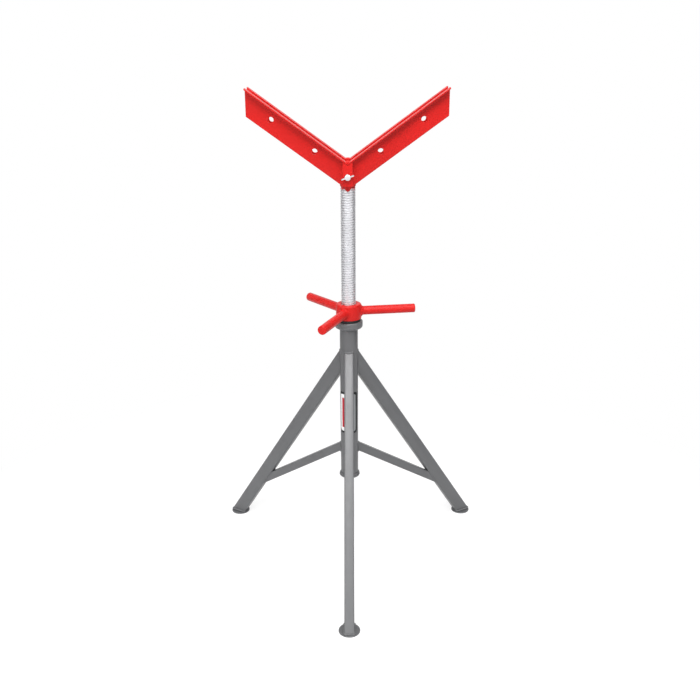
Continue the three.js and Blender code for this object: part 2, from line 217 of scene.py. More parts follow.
class Finishes(bpy.types.PropertyGroup):
    """Colours of the paints, the plating and the label"""

    grey: a_colour("Grey paint", "Paint of the tripod", (0.103, 0.105, 0.110))
    red: a_colour("Red paint", "Paint of the hand nut and the head", (0.61, 0.012, 0.010))
    zinc: a_colour("Zinc plate", "Plating of the screw and the wing screw", (0.76, 0.76, 0.785))
    # Painted shade: the plating's darker colour where it is seen at a low angle
    zinc_edge_shade: a_colour("Zinc turned away", "The plating seen at a low angle", (0.25, 0.25, 0.27))
    # Painted shade: the plating's darker colour in the thread's grooves
    zinc_groove_shade: a_colour("Zinc grime", "Grime in the thread's grooves", (0.20, 0.20, 0.21))
    black: a_colour("Black steel", "The thrust washer", (0.012, 0.014, 0.014))
    label_field: a_colour("Label field", "The label's pale ground", (0.95, 0.95, 0.95))
    label_bar: a_colour("Label bar", "The label's coloured bar", (0.50, 0.03, 0.045))
    label_panel: a_colour("Label panel", "The label's grey panel", (0.28, 0.29, 0.30))
    label_border: a_colour("Label border", "The label's dark border", (0.012, 0.013, 0.015))


class StageSettings(bpy.types.PropertyGroup):
    """Camera, lamps and backdrop"""

    lens: a_lens("Lens", "Focal length of the camera", 44.479)
    sensor: a_lens("Sensor", "Width of the camera's sensor", 36)
    camera_place: a_place(
        "Camera place", "The camera, from the stand's axis at the floor", (0.0170, -2.19585, 1.38373))
    pitch: an_angle("Pitch", "How far the camera looks down", radians(19.587))
    yaw: an_angle("Yaw", "How far the camera looks to the right", -0.00641)
    roll: an_angle("Roll", "Turn of the camera about its own line of sight", -0.00574)
    lamp_target: a_place("Lamp target", "The point that every lamp faces", (0, 0.1, 0.5))
    ambient: a_share("Ambient", "Strength of the white room on the object", 0.05)
    floor_grey: a_share("Floor", "Grey level of the floor as it lights the stand", 0.88)
    floor_shade: a_share("Floor shade", "How much of the shadows the seen floor keeps", 0.34)
    floor_glow: a_share("Floor glow", "White that the seen floor has of its own by the stand", 0.76)
    floor_near: a_length("Floor near", "The floor keeps its full shadow up to here from the axis", 0.5)
    floor_far: a_length("Floor far", "From here on the floor is plain white", 1.3)


def add_stage_settings(things, kind_of_level, text):
    """Gives the stage three settings for each lamp or card of a table"""
    for thing, (level, place, side) in things.items():
        title = thing.replace("_", " ").capitalize()
        StageSettings.__annotations__.update({
            f"{thing}_level": kind_of_level(f"{title} level", text, level),
            f"{thing}_place": a_place(f"{title} place", "Where its middle is", place),
            f"{thing}_size": a_length(f"{title} size", "Length of its side", side)})


add_stage_settings(LAMPS, a_power, "Power of the lamp")
add_stage_settings(CARDS, a_share, "Grey level of the card")

SETTINGS = {
    "stand_legs": LegSizes,
    "stand_welds": WeldSizes,
    "stand_thread": ThreadSizes,
    "stand_label": LabelSizes,
    "stand_finishes": Finishes,
    "stand_stage": StageSettings,
}


# Finishes: shared effects are node groups, and each paint or plating is a material

def feed(tree, node, inputs):
    """Gives each input of a node its value, or links it to a socket; a colour is three numbers here"""
    for name, value in inputs.items():
        socket = node.inputs[name]
        if isinstance(value, bpy.types.NodeSocket):
            tree.links.new(value, socket)
        else:
            socket.default_value = (*value, 1) if socket.type == "RGBA" else value


def add_node(tree, kind, inputs=None, **values):
    """Adds a shader node, sets its properties and feeds its inputs"""
    node = tree.nodes.new(f"ShaderNode{kind}")
    for name, value in values.items():
        setattr(node, name, value)
    feed(tree, node, inputs or {})
    return node


def new_group(name, inputs, outputs):
    """An empty node group with named sockets, its input node and its output node"""
    group = bpy.data.node_groups.new(name, "ShaderNodeTree")
    for socket, kind, default in inputs:
        made = group.interface.new_socket(socket, in_out="INPUT", socket_type=f"NodeSocket{kind}")
        made.default_value = default
    for socket, kind in outputs:
        group.interface.new_socket(socket, in_out="OUTPUT", socket_type=f"NodeSocket{kind}")
    return group, group.nodes.new("NodeGroupInput"), group.nodes.new("NodeGroupOutput")


def place_in(tree):
    """The point's place in the object's own coordinates, which are the frame's"""
    return add_node(tree, "TexCoord").outputs["Object"]


def noise(tree, grain, stretch=(1, 1, 1)):
    """One of the grains, in the object's own coordinates"""
    cells, layers = GRAINS[grain][:2]
    place = add_node(tree, "Mapping", {"Vector": place_in(tree), "Scale": stretch}).outputs["Vector"]
    return add_node(tree, "TexNoise", {"Vector": place, "Scale": cells, "Detail": layers}).outputs["Fac"]


def remap(tree, source, low, high, to_low, to_high):
    """Maps a value from one range to another, and stops at the ends"""
    ends = {"From Min": low, "From Max": high, "To Min": to_low, "To Max": to_high}
    return add_node(tree, "MapRange", {"Value": source, **ends}).outputs["Result"]


def spread(tree, grain, stretch=(1, 1, 1)):
    """One of the grains, spread between its lowest and highest value"""
    return remap(tree, noise(tree, grain, stretch), *NOISE_ENDS, *GRAINS[grain][2:])


def reckon(tree, operation, *values):
    """One sum on up to three values, each a socket or a number"""
    return add_node(tree, "Math", dict(enumerate(values)), operation=operation).outputs["Value"]


def mix_colour(tree, factor, first, second, blend="MIX"):
    """Mixes two colours, each a socket or a colour"""
    inputs = {MIX_FACTOR: factor, MIX_FIRST: first, MIX_SECOND: second}
    return add_node(tree, "Mix", inputs, data_type="RGBA", blend_type=blend).outputs[MIX_RESULT]


def paint_film_group():
    """Sprayed paint: slight blotches in its colour and gloss, and a fine orange peel"""
    group, given, put_out = new_group(
        "paint_film",
        [("Colour", "Color", (0.5, 0.5, 0.5, 1)), ("Blotch", "Float", 0.24),
         ("Gloss spread", "Float", 0.24), ("Roughness", "Float", 0.4)],
        [("Colour", "Color"), ("Roughness", "Float"), ("Height", "Float")])
    given = given.outputs
    tone = reckon(group, "SUBTRACT", noise(group, "blotches"), NOISE_MIDDLE)
    tone = reckon(group, "MULTIPLY_ADD", tone, given["Blotch"], 1)
    gloss = reckon(group, "SUBTRACT", noise(group, "paint_gloss"), NOISE_MIDDLE)
    feed(group, put_out, {
        "Colour": mix_colour(group, 1, given["Colour"], tone, "MULTIPLY"),
        "Roughness": reckon(group, "MULTIPLY_ADD", gloss, given["Gloss spread"], given["Roughness"]),
        "Height": noise(group, "orange_peel")})
    return group


def edge_group():
    """Finds the edges of a piece, where paint wears thin, by how far an eased normal leaves the face's"""
    group, given, put_out = new_group("worn_edge", [("Amount", "Float", 0.5)], [("Mask", "Float")])
    reach, on_face, on_edge = 1.1 * MM, 0.98, 0.86
    bare, worn = 0.42, 0.66
    eased = add_node(group, "Bevel", {"Radius": reach}, samples=6).outputs["Normal"]
    plain = add_node(group, "NewGeometry").outputs["Normal"]
    meet = add_node(group, "VectorMath", {0: eased, 1: plain}, operation="DOT_PRODUCT").outputs["Value"]
    edge = remap(group, meet, on_face, on_edge, 0, 1)
    patchy = remap(group, noise(group, "wear"), bare, worn, 0, 1)
    mask = reckon(group, "MULTIPLY", reckon(group, "MULTIPLY", edge, patchy), given.outputs["Amount"])
    feed(group, put_out, {"Mask": mask})
    return group


def new_material(name, roughness, metallic=0, specular=0.5):
    """A material's tree and its Principled shader, whose plain numbers are set on its own sockets"""
    material = bpy.data.materials.new(name)
    material.use_nodes = True
    tree = material.node_tree
    shader = tree.nodes["Principled BSDF"]
    feed(tree, shader, {"Roughness": roughness, "Metallic": metallic, "Specular IOR Level": specular})
    return tree, shader


def raised(tree, height, grain):
    """The normal of a surface that a height raises"""
    return add_node(tree, "Bump", {"Height": height, "Distance": BUMPS[grain]}).outputs["Normal"]


def painted(paint, finishes, film, edges):
    """Enamel on steel, from the shared paint film and worn edges"""
    worn_colour, wear, roughness, specular = WORN[paint]
    tree, shader = new_material(FINISH_OF[f"{paint}_paint"], roughness, specular=specular)
    coat = add_node(
        tree, "Group", {"Colour": getattr(finishes, paint), "Roughness": roughness}, node_tree=film).outputs
    worn = add_node(tree, "Group", {"Amount": wear}, node_tree=edges).outputs["Mask"]
    feed(tree, shader, {
        "Base Color": mix_colour(tree, worn, coat["Colour"], worn_colour),
        "Roughness": coat["Roughness"],
        "Normal": raised(tree, coat["Height"], "orange_peel")})


def distance_from_axis(tree):
    """How far a point lies from the stand's axis"""
    moved = {"Vector": place_in(tree), "Location": -AXIS, "Scale": (1, 1, 0)}
    centred = add_node(tree, "Mapping", moved).outputs["Vector"]
    return add_node(tree, "VectorMath", {0: centred}, operation="LENGTH").outputs["Value"]


def height_above_floor(tree):
    """Height of a point above the floor"""
    return add_node(tree, "SeparateXYZ", {"Vector": place_in(tree)}).outputs["Z"]


def seen_directly(tree):
    """1 for the rays by which the camera sees a surface, straight or in a reflection, and 0 for others"""
    path = add_node(tree, "LightPath").outputs
    seen = reckon(tree, "MAXIMUM", path["Is Camera Ray"], path["Is Glossy Ray"])
    return reckon(tree, "MAXIMUM", seen, path["Is Transmission Ray"])


def zinc_plate(name, finishes, thread):
    """Bright plated steel with painted shade at its edges seen at a low angle and in the thread's grooves,
    and red overspray on its top turns
    """
    metallic, cloud_stretch = 0.9, (1, 1, 0.35)
    edge_shade, edge_shade_from = 0.6, 0.6  # painted shade at the edges: how far the plating seen at a low angle darkens, and from where
    groove_shade, groove_shade_full, groove_shade_none = 0.2, 0.95, 0.55  # the same for the painted shade in the grooves, in shares of their depth
    spray_full, spray_none, spray_end = 3 * MM, 9 * MM, 1 * MM  # below, below and above the shoulder
    spray_uneven = 16 * MM
    tree, shader = new_material(name, roughness=0.3, metallic=metallic)
    crest, shoulder = radius_of("jack_screw"), span_of("head_sleeve")[0]
    plate = mix_colour(tree, 1, finishes.zinc, spread(tree, "plate_cloud", cloud_stretch), "MULTIPLY")
    # Painted shade: the plating darkens where it is seen at a low angle
    facing = add_node(tree, "LayerWeight").outputs["Facing"]
    plate = mix_colour(tree, remap(tree, facing, edge_shade_from, 1, 0, edge_shade), plate, finishes.zinc_edge_shade)
    # Painted shade: the plating darkens towards the thread's roots
    full, none = crest - groove_shade_full * thread.depth, crest - groove_shade_none * thread.depth
    groove_shaded = remap(tree, distance_from_axis(tree), full, none, groove_shade, 0)
    plate = mix_colour(tree, groove_shaded, plate, finishes.zinc_groove_shade)
    uneven = reckon(tree, "MULTIPLY_ADD", noise(tree, "spray_edge"), spray_uneven, -spray_uneven / 2)
    level = reckon(tree, "ADD", height_above_floor(tree), uneven)
    sprayed = remap(tree, level, shoulder - spray_none, shoulder - spray_full, 0, 1)
    below_head = reckon(tree, "LESS_THAN", height_above_floor(tree), shoulder + spray_end)
    sprayed = reckon(tree, "MULTIPLY", sprayed, below_head)
    feed(tree, shader, {
        "Base Color": mix_colour(tree, sprayed, plate, finishes.red),
        "Metallic": remap(tree, sprayed, 0, 1, metallic, 0),
        "Roughness": spread(tree, "plate_gloss"),
        "Normal": raised(tree, noise(tree, "plate_grain"), "plate_grain")})


def black_steel(name, finishes):
    """Oiled black steel"""
    tree, shader = new_material(name, roughness=0.45, specular=0.3)
    feed(tree, shader, {
        "Base Color": mix_colour(tree, 1, finishes.black, spread(tree, "steel_tone"), "MULTIPLY"),
        "Roughness": spread(tree, "steel_gloss"),
        "Normal": raised(tree, noise(tree, "steel_grain"), "steel_grain")})


def label_print(name, finishes, label):
    """The label's print from its own UV map: a dark border, a pale field, a bar and a panel"""
    panel_width, panel_middle = 26 * MM, 15 * MM
    print_corner, blur = 0.8 * MM, 0.2 * MM
    tree, shader = new_material(name, roughness=0.35, specular=0.15)
    print_place = add_node(tree, "UVMap", uv_map="print").outputs["UV"]
    place = add_node(tree, "SeparateXYZ", {"Vector": print_place}).outputs

    def past(value, side, corner):
        """How far a value lies past the straight part of a rounded side"""
        size = reckon(tree, "ABSOLUTE", value)
        return reckon(tree, "MAXIMUM", reckon(tree, "SUBTRACT", size, side / 2 - corner), 0)

    def outside(width, height, corner, middle=0):
        """1 outside a rounded rectangle of the label, and 0 inside"""
        x = past(reckon(tree, "SUBTRACT", place["X"], middle), width, corner)
        y = past(place["Y"], height, corner)
        away = reckon(tree, "SQRT", reckon(tree, "MULTIPLY_ADD", x, x, reckon(tree, "MULTIPLY", y, y)))
        return remap(tree, away, corner - blur, corner + blur, 0, 1)

    bar = outside(label.bar_right - label.bar_left, label.bar_height, print_corner,
                  (label.bar_right + label.bar_left) / 2)
    panel = outside(panel_width, label.height, print_corner, panel_middle)
    border = outside(label.width - 2 * label.border, label.height - 2 * label.border,
                     label.corner - label.border / 2)
    colour = mix_colour(tree, bar, finishes.label_bar, finishes.label_field)
    colour = mix_colour(tree, panel, finishes.label_panel, colour)
    feed(tree, shader, {
        "Base Color": mix_colour(tree, border, colour, finishes.label_border),
        "Roughness": spread(tree, "label_gloss")})


def make_finishes(scene):
    """Every finish of the stand"""
    finishes, film, edges = scene.stand_finishes, paint_film_group(), edge_group()
    for paint in WORN:
        painted(paint, finishes, film, edges)
    zinc_plate(FINISH_OF["zinc_plate"], finishes, scene.stand_thread)
    black_steel(FINISH_OF["black_steel"], finishes)
    label_print(FINISH_OF["label_print"], finishes, scene.stand_label)


def finish(slot):
    """The finish for a slot, made with the others the first time that one is asked for"""
    if FINISH_OF[slot] not in bpy.data.materials:
        make_finishes(bpy.context.scene)
    return bpy.data.materials[FINISH_OF[slot]]


# Shaping

def new_mesh(name, bm):
    """A mesh with the shape that was worked on, which is freed"""
    mesh = bpy.data.meshes.new(name)
    bm.to_mesh(mesh)
    bm.free()
    return mesh


def new_object(name, data):
    """A new object of the scene"""
    made = bpy.data.objects.new(name, data)
    bpy.context.scene.collection.objects.link(made)
    return made


def add_piece(name, bm, body, material, stands_for=(), sharp=SHARP):
    """Makes a shape a piece of the stand, riding on a body of the frame"""
    bmesh.ops.remove_doubles(bm, verts=bm.verts, dist=MERGE)
    bmesh.ops.recalc_face_normals(bm, faces=bm.faces)
    mesh = new_mesh(name, bm)
    mesh.shade_smooth()
    mesh.set_sharp_from_angle(angle=sharp)
    mesh.materials.append(finish(material))
    piece = new_object(name, mesh)
    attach(piece, body)
    if stands_for:
        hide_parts(*stands_for)
    return piece


def join_into(bm, part):
    """Adds one shape to another, and frees it"""
    mesh = new_mesh("part", part)
    bm.from_mesh(mesh)
    bpy.data.meshes.remove(mesh)


def everything(bm):
    """All parts of a shape, for the calls that take them as one list"""
    return bm.verts[:] + bm.edges[:] + bm.faces[:]


def only(kind, parts):
    """Those of the given parts that are vertices or edges"""
    return [part for part in parts if isinstance(part, kind)]


def row_for(node, table):
    """The row of a table for a node, whose name may go on with the place where it stands"""
    return next(row for kind, row in table.items() if node.startswith(kind))


def rounded(profile, corners):
    """A profile with some corners rounded: corners gives corner number to radius"""
    points = []
    for i, corner in enumerate(profile):
        radius = corners.get(i, 0)
        here = Vector(corner)
        if not radius:
            points.append(here)
            continue
        back = (Vector(profile[i - 1]) - here).normalized()
        ahead = (Vector(profile[(i + 1) % len(profile)]) - here).normalized()
        half = acos(max(-1, min(1, back.dot(ahead)))) / 2
        centre = here + (back + ahead).normalized() * radius / sin(half)
        start = here + back * radius / tan(half) - centre  # slerp makes these unit vectors
        end = here + ahead * radius / tan(half) - centre
        for step in range(CORNER_STEPS + 1):
            points.append(centre + start.slerp(end, step / CORNER_STEPS) * radius)
    return [tuple(point) for point in points]


def ring_profile(inner, outer, low, high):
    return [(inner, low), (outer, low), (outer, high), (inner, high)]


def add_turned(bm, profile, steps=ROUND_STEPS, place=TO_AXIS):
    """Spins a closed profile of (radius, height) about Z, and puts the solid in place"""
    spun = bmesh.new()
    verts = [spun.verts.new((radius, 0, height)) for radius, height in profile]
    pairs = list(zip(verts, verts[1:]))
    if min(radius for radius, height in profile) > MERGE:
        pairs.append((verts[-1], verts[0]))
    edges = [spun.edges.new(pair) for pair in pairs]
    bmesh.ops.spin(
        spun, geom=verts + edges, cent=(0, 0, 0), axis=(0, 0, 1), dvec=(0, 0, 0),
        angle=FULL_TURN, steps=steps, use_merge=True, use_duplicate=False)
    bmesh.ops.transform(spun, matrix=place, verts=spun.verts)
    join_into(bm, spun)


def turned_copy(node, body, material, profile, steps=ROUND_STEPS, place=TO_AXIS):
    """Stands for a round CAD node: its profile, rounded and turned"""
    bm = bmesh.new()
    add_turned(bm, rounded(profile, row_for(node, CORNERS)), steps, place)
    add_piece(f"{node}_turned", bm, body, material, stands_for=[node])


def dressed_copy(node, body, material):
    """Stands for a CAD node whose shape is right: joined, smooth where it is round, its edges eased"""
    bm = bmesh.new()
    bm.from_mesh(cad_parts[node].data)
    bmesh.ops.remove_doubles(bm, verts=bm.verts, dist=MERGE)
    bmesh.ops.dissolve_limit(bm, angle_limit=FLAT, verts=bm.verts, edges=bm.edges)
    piece = add_piece(f"{node}_dressed", bm, body, material, stands_for=[node])
    bevel = piece.modifiers.new("edge_round", "BEVEL")
    bevel.width = row_for(node, EASED)
    bevel.segments = 2
    bevel.limit_method = "ANGLE"
    bevel.angle_limit = SHARP
    bevel.harden_normals = True


def evenly(points, step, closed, fewest=8):
    """The same path in even steps of about the given length, and the length of its steps"""
    path = list(points) + ([points[0]] if closed else [])
    lengths = [(b - a).length for a, b in zip(path, path[1:])]
    total = sum(lengths)
    count = max(fewest, round(total / step))
    result, gone, leg = [], 0, 0
    for i in range(count if closed else count + 1):
        target = total * i / count
        while leg < len(lengths) - 1 and gone + lengths[leg] < target:
            gone += lengths[leg]
            leg += 1
        result.append(path[leg].lerp(path[leg + 1], min(1, (target - gone) / lengths[leg])))
    return result, total / count


def add_bead(bm, points, radius, closed=True):
    """Rolls a flat grid into a round, rippled weld bead along a path"""
    ripple_steps, end_size = 6, 0.5  # steps in a ripple, and how thick an open end is
    slow, slower = 7.3, 3.1  # how much more slowly than the ripples the whole bead swells and shrinks
    welds = bpy.context.scene.stand_welds
    path, step = evenly(points, welds.ripple / ripple_steps, closed)
    count = len(path)
    segments = count if closed else count - 1
    centre = sum(path, Vector()) / count
    steady = (path[-1] - path[0]).orthogonal()
    bead = bmesh.new()
    grid = bmesh.ops.create_grid(bead, x_segments=segments, y_segments=welds.sides, size=1 / 2)["verts"]
    for vert in grid:
        i = round((vert.co.x + 1 / 2) * segments)
        turn = FULL_TURN * (vert.co.y + 1 / 2)
        ahead = path[(i + 1) % count if closed else min(i + 1, count - 1)]
        behind = path[(i - 1) % count if closed else max(i - 1, 0)]
        here = path[i % count]
        along = (ahead - behind).normalized()
        side = along.cross(here - centre if closed else steady).normalized()
        phase = FULL_TURN * (i % count) * step / welds.ripple
        size = radius * (1 + welds.ripple_depth * cos(phase))
        size *= 1 + welds.ripple_depth / 2 * sin(phase / slow + sin(phase / slower))
        if not closed and i in (0, segments):
            size *= end_size
        vert.co = here + size * (side * cos(turn) + along.cross(side) * sin(turn))
    bmesh.ops.remove_doubles(bead, verts=bead.verts, dist=MERGE)
    if not closed:
        bmesh.ops.holes_fill(bead, edges=bead.edges, sides=0)
    join_into(bm, bead)


def box_outline(depth, width, corner):
    """Points round a rectangle with rounded corners"""
    points = []
    for side, (a, b) in enumerate(((1, 1), (-1, 1), (-1, -1), (1, -1))):
        for step in range(SECTION_STEPS + 1):
            turn = (side + step / SECTION_STEPS) * FULL_TURN / 4
            points.append((a * (depth / 2 - corner) + corner * cos(turn),
                           b * (width / 2 - corner) + corner * sin(turn)))
    return points


class Bar:
    """A bar that leans from the floor to the stand's axis, in the plane of one spoke"""

    def __init__(self, reach, lean):
        self.reach = reach
        self.sin = sin(lean)
        self.cos = cos(lean)

    def point(self, depth, width, along):
        """A point of the bar: depth outwards and width across from its centre line"""
        return Vector((self.reach + depth * self.cos - along * self.sin, width,
                       along * self.cos + depth * self.sin))

    def on_tube(self, depth, width, radius):
        """Where that line of the bar meets an upright round tube"""
        out = sqrt(radius ** 2 - width ** 2)
        return self.point(depth, width, (self.reach + depth * self.cos - out) / self.sin)

    def on_level(self, depth, width, height):
        """Where it meets a level plane"""
        return self.point(depth, width, (height - depth * self.sin) / self.cos)

    def on_face(self, depth, width, other, other_depth):
        """Where it meets the face of another bar in the same spoke"""
        normal = Vector((other.cos, 0, other.sin))
        start = self.point(depth, width, 0)
        heading = self.point(depth, width, 1) - start
        face = other.point(other_depth, 0, 0)
        return start + heading * (face - start).dot(normal) / heading.dot(normal)


def brace_bar(legs):
    """The brace's centre line, carried on down to the floor"""
    meet = legs.reach - legs.brace_end * tan(legs.lean)
    lean = atan2(meet, legs.brace_height - legs.brace_end)
    return Bar(legs.brace_height * tan(lean), lean)


def kept_near(point, reach, room):
    """Pulls a point of a spoke in, so that it lies no further than room from the foot's middle"""
    off = Vector((point.x - reach, point.y))
    if off.length > room:
        off *= room / off.length
    return Vector((reach + off.x, off.y, point.z))


# One operator for each group of like pieces

class STAND_OT_tube(bpy.types.Operator):
    """Turn the centre tube, its collar and its bottom ring"""

    bl_idname = "stand.tube"
    bl_label = "Centre tube"

    def execute(self, context):
        wall = 2.5 * MM
        outer = radius_of("center_tube")
        for node, bore in {"center_tube": outer - wall, "top_collar": outer, "bottom_ring": outer}.items():
            profile = ring_profile(bore, radius_of(node), *span_of(node))
            turned_copy(node, "base", "grey_paint", profile)
        return {"FINISHED"}


class STAND_OT_legs(bpy.types.Operator):
    """Dress the legs and braces, and turn the feet"""

    bl_idname = "stand.legs"
    bl_label = "Legs, braces and feet"

    def execute(self, context):
        for place in SPOKES:
            dressed_copy(f"leg_{place}", "base", "grey_paint")
            dressed_copy(f"brace_{place}", "base", "grey_paint")
            node = f"foot_{place}"
            low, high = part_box(node)
            centre = (low + high) / 2
            to_foot = Matrix.Translation((centre.x, centre.y, 0))
            profile = ring_profile(0, radius_of(node), low.z, high.z)
            turned_copy(node, "base", "grey_paint", profile, place=to_foot)
        return {"FINISHED"}


class STAND_OT_base_welds(bpy.types.Operator):
    """Lay the weld beads round the ends of the legs and braces, the feet and the collar"""

    bl_idname = "stand.base_welds"
    bl_label = "Welds of the tripod"

    proud, foot_proud = 0.35, 0.9  # how far a bead's middle stands off the steel, in radii
    foot_room = 1.26  # from the foot bead's middle to the foot's edge, in radii
    inside = 0.2 * MM  # how far the beads at the braces' lower ends lie inside both faces
    top_inset, top_sunk = 1.2 * MM, 2 * MM  # the top bead, from the leg's outer face and into the gap
    top_width, top_steps = 0.84, 12  # its share of the leg's width, and the steps of its path
    ring_points = 72

    def execute(self, context):
        legs, welds = context.scene.stand_legs, context.scene.stand_welds
        leg, brace = Bar(legs.reach, legs.lean), brace_bar(legs)
        proud = self.proud * welds.radius
        tube = radius_of("center_tube") + proud
        leg_round = box_outline(legs.depth + 2 * proud, legs.width + 2 * proud, legs.corner + proud)
        brace_side = legs.brace_size + 2 * proud
        brace_round = box_outline(brace_side, brace_side, legs.brace_corner + proud)
        brace_end = box_outline(legs.brace_size, legs.brace_size - 2 * self.inside, legs.brace_corner)
        leg_inside, leg_outside = -legs.depth / 2 - self.inside, legs.depth / 2 - self.top_inset
        top_half = self.top_width * legs.width / 2
        across = [(2 * i / self.top_steps - 1) * top_half for i in range(self.top_steps + 1)]
        floor = span_of("foot_front")[1] + self.foot_proud * welds.foot_radius
        foot_low, foot_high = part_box("foot_front")
        foot_reach = AXIS.y - (foot_low.y + foot_high.y) / 2
        foot_room = radius_of("foot_front") - self.foot_room * welds.foot_radius
        for place, degrees in SPOKES.items():
            bm = bmesh.new()
            add_bead(bm, [leg.on_tube(a, b, tube) for a, b in leg_round], welds.side_radius)
            if place == "front":
                top = [leg.on_tube(leg_outside, b, tube - self.top_sunk) for b in across]
                add_bead(bm, top, welds.top_radius, closed=False)
            add_bead(bm, [brace.on_tube(a, b, tube) for a, b in brace_round], welds.radius)
            add_bead(bm, [brace.on_face(a, b, leg, leg_inside) for a, b in brace_end], welds.side_radius)
            foot = [kept_near(leg.on_level(a, b, floor), foot_reach, foot_room) for a, b in leg_round]
            add_bead(bm, foot, welds.foot_radius)
            to_spoke = TO_AXIS @ Matrix.Rotation(radians(degrees), 4, "Z")
            bmesh.ops.transform(bm, matrix=to_spoke, verts=bm.verts)
            add_piece(f"welds_{place}", bm, "base", "grey_paint", sharp=SOFT)
        bm = bmesh.new()
        turns = [Matrix.Rotation(FULL_TURN * i / self.ring_points, 3, "Z") for i in range(self.ring_points)]
        for height in (span_of("top_collar")[0] - proud, span_of("bottom_ring")[1] + proud):
            add_bead(bm, [turn @ Vector((tube, 0, height)) for turn in turns], welds.radius)
        bmesh.ops.transform(bm, matrix=TO_AXIS, verts=bm.verts)
        add_piece("welds_tube_rings", bm, "base", "grey_paint", sharp=SOFT)
        return {"FINISHED"}


class STAND_OT_label(bpy.types.Operator):
    """Wrap the plain label round the tube"""

    bl_idname = "stand.label"
    bl_label = "Label"

    corner_steps = 8
    strips = 32  # flat strips that the wrapped film is made of

    def execute(self, context):
        label = context.scene.stand_label
        bm = bmesh.new()
        flat = bmesh.ops.create_grid(bm, x_segments=1, y_segments=1, size=1 / 2)["verts"]
        bmesh.ops.scale(bm, vec=(label.width, label.height, 1), verts=flat)
        bmesh.ops.bevel(bm, geom=flat, offset=label.corner, segments=self.corner_steps, profile=1 / 2,
                        affect="VERTICES", material=-1)
        for i in range(1, self.strips):
            bmesh.ops.bisect_plane(
                bm, geom=everything(bm), dist=MERGE,
                plane_co=((i / self.strips - 1 / 2) * label.width, 0, 0), plane_no=(1, 0, 0))
        print_map = bm.loops.layers.uv.new("print")
        for face in bm.faces:
            for loop in face.loops:
                loop[print_map].uv = loop.vert.co.xy
        film = bmesh.ops.extrude_face_region(bm, geom=bm.faces[:])["geom"]
        bmesh.ops.translate(bm, vec=(0, 0, label.thickness), verts=only(bmesh.types.BMVert, film))
        radius = radius_of("center_tube")
        for vert in bm.verts:
            across, up, out = vert.co
            turn = across / radius + label.turn
            vert.co = AXIS + Vector((
                (radius + out) * sin(turn), -(radius + out) * cos(turn), label.middle + up))
        add_piece("tube_label", bm, "base", "label_print")
        return {"FINISHED"}


class STAND_OT_hand_nut(bpy.types.Operator):
    """Turn the thrust washer, the hand nut's hub and its three bars, and weld the bars on"""

    bl_idname = "stand.hand_nut"
    bl_label = "Hand nut"

    running_gap = 0.5 * MM  # between the screw and the bores round it
    lead = 1.6 * MM  # chamfer at both ends of the hub's bore
    flare = 2.4 * MM  # how much wider a bar is at its root
    root_depth = 3 * MM  # how far a bar's root lies in the hub
    weld_out, weld_proud = 0.8, 0.4 * MM  # its bead's share of the flare, and how far it stands off the hub

    def execute(self, context):
        bore = radius_of("jack_screw") + self.running_gap
        profile = ring_profile(bore, radius_of("thrust_washer"), *span_of("thrust_washer"))
        turned_copy("thrust_washer", "base", "black_steel", profile)
        low, high = span_of("nut_hub")
        hub, lead = radius_of("nut_hub"), self.lead
        turned_copy("nut_hub", "hand_nut", "red_paint", [
            (bore + lead, low), (hub, low), (hub, high), (bore + lead, high),
            (bore, high - lead), (bore, low + lead)])
        bar_low, bar_high = span_of("handle_bar_right")
        height, radius = (bar_low + bar_high) / 2, (bar_high - bar_low) / 2 - self.flare
        for place in ("right", "rear", "left"):
            self.make_bar(context, f"handle_bar_{place}", hub, height, radius)
        return {"FINISHED"}

    def make_bar(self, context, node, hub, height, radius):
        """One bar, from inside the hub's wall out to its tip, with the bead round its root"""
        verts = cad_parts[node].data.vertices
        middle = sum((v.co for v in verts), Vector()) / len(verts) - AXIS
        turn = atan2(middle.y, middle.x)
        outwards = Vector((cos(turn), sin(turn), 0))
        tip = max((v.co - AXIS).dot(outwards) for v in verts)
        to_spoke = TO_AXIS @ Matrix.Rotation(turn, 4, "Z")
        lying = to_spoke @ Matrix.Translation((0, 0, height)) @ Matrix.Rotation(FULL_TURN / 4, 4, "Y")
        root, flare = hub - self.root_depth, self.flare
        profile = [(0, root), (radius + flare, root), (radius + flare, hub),
                   (radius, hub + 2 * flare), (radius, tip), (0, tip)]
        turned_copy(node, "hand_nut", "red_paint", profile, BAR_STEPS, lying)
        ring, out = [], radius + flare * self.weld_out
        for i in range(BAR_STEPS):
            across, up = out * cos(FULL_TURN * i / BAR_STEPS), out * sin(FULL_TURN * i / BAR_STEPS)
            ring.append(Vector((sqrt((hub + self.weld_proud) ** 2 - across ** 2), across, height + up)))
        bead = bmesh.new()
        add_bead(bead, ring, context.scene.stand_welds.fine_radius)
        bmesh.ops.transform(bead, matrix=to_spoke, verts=bead.verts)
        add_piece(f"{node}_weld", bead, "hand_nut", "red_paint", sharp=SOFT)


